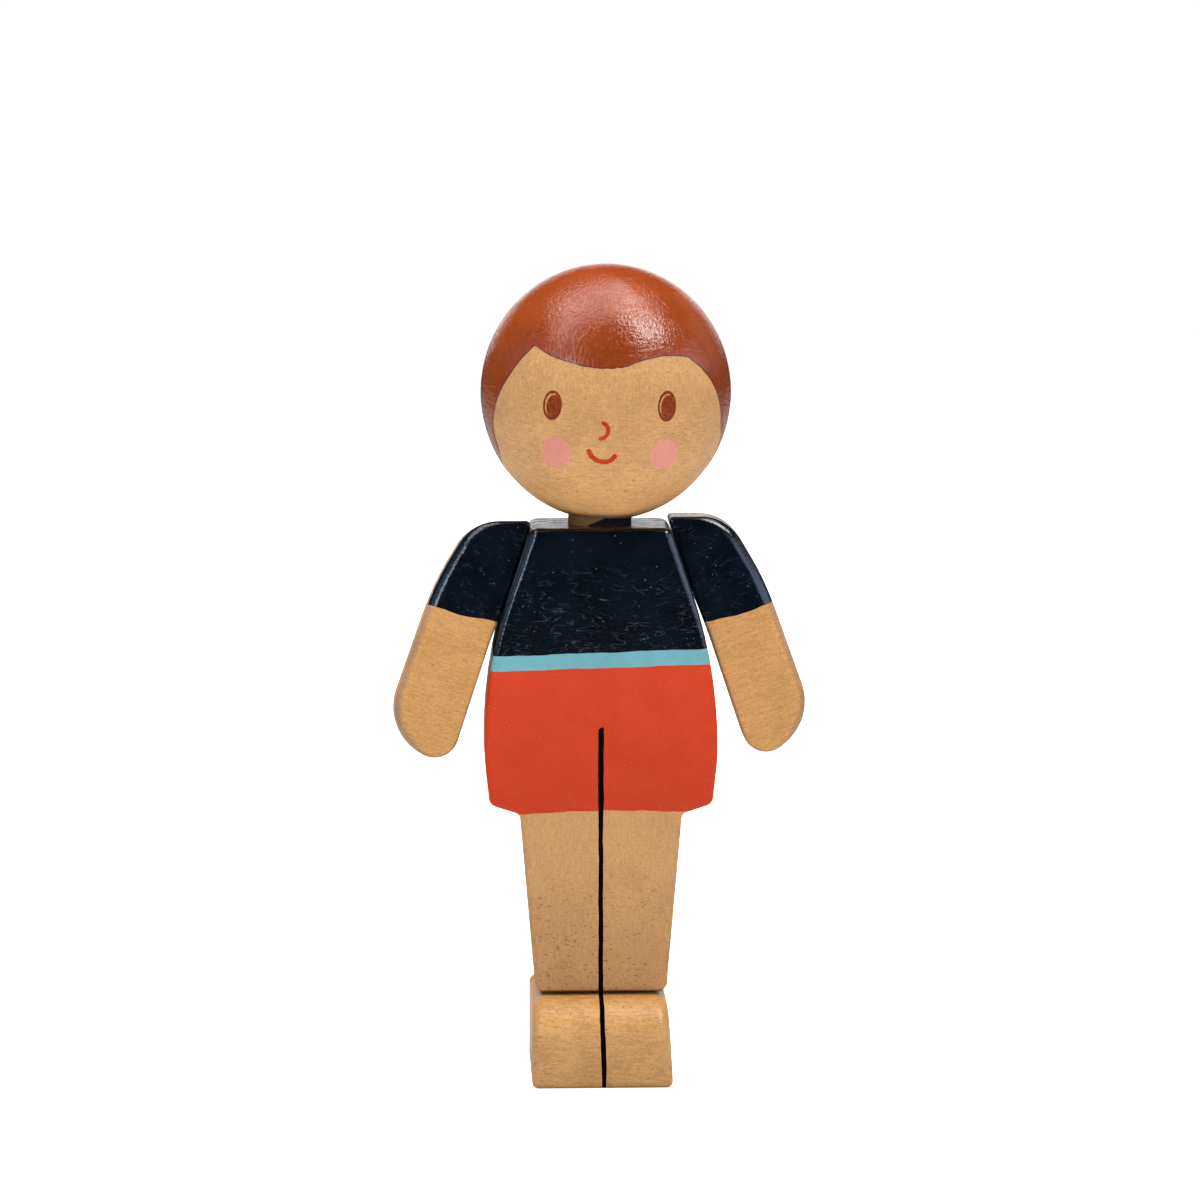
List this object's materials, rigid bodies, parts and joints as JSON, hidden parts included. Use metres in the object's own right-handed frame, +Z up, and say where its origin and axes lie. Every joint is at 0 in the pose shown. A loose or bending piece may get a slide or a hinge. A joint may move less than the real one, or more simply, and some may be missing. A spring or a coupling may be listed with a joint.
{
  "type": "wooden doll",
  "caption": "Small standing wooden doll with a turned ball head, a flat painted body board, a feet block, and arms that turn on an elastic cord.",
  "frame": {"origin": "on the sole of the feet block, straight below the neck, on the mid-plane of the body board", "axes": "+Z up, the doll faces -Y, and its own left is at +X"},
  "size_m": [0.0456, 0.0274, 0.0901],
  "materials": {
    "bare_wood": "satin clear varnish",
    "navy_paint": "gloss navy paint on wood",
    "belt_paint": "satin turquoise paint on wood",
    "red_paint": "satin orange-red paint on wood",
    "hair_paint": "gloss brown paint on wood",
    "face_paint": "satin paint on wood",
    "line_paint": "satin black paint on wood",
    "elastic": "matte woven cover"
  },
  "bodies": {
    "body": {"body_board": "bare_wood", "feet_block": "bare_wood", "foot_dowel_left": "bare_wood", "foot_dowel_right": "bare_wood", "neck_dowel": "bare_wood", "elastic_cord": "elastic"},
    "head": {"head": "bare_wood"},
    "left_arm": {"left_arm": "bare_wood", "left_arm_plug": "bare_wood"},
    "right_arm": {"right_arm": "bare_wood", "right_arm_plug": "bare_wood"}
  },
  "joints": [
    {"name": "head_turn", "type": "hinge", "parent": "body", "child": "head", "pos_m": [0, 0, 0.0615], "axis": [0.048, 0, 0.9988], "continuous": true},
    {"name": "left_shoulder", "type": "hinge", "parent": "body", "child": "left_arm", "pos_m": [0.00955, 0, 0.05676], "axis": [-0.9483, 0, -0.3173], "range_deg": [-112.5, 107.5]},
    {"name": "right_shoulder", "type": "hinge", "parent": "body", "child": "right_arm", "pos_m": [-0.00955, 0, 0.05676], "axis": [-0.9483, 0, 0.3173], "range_deg": [-118, 102]}
  ]
}
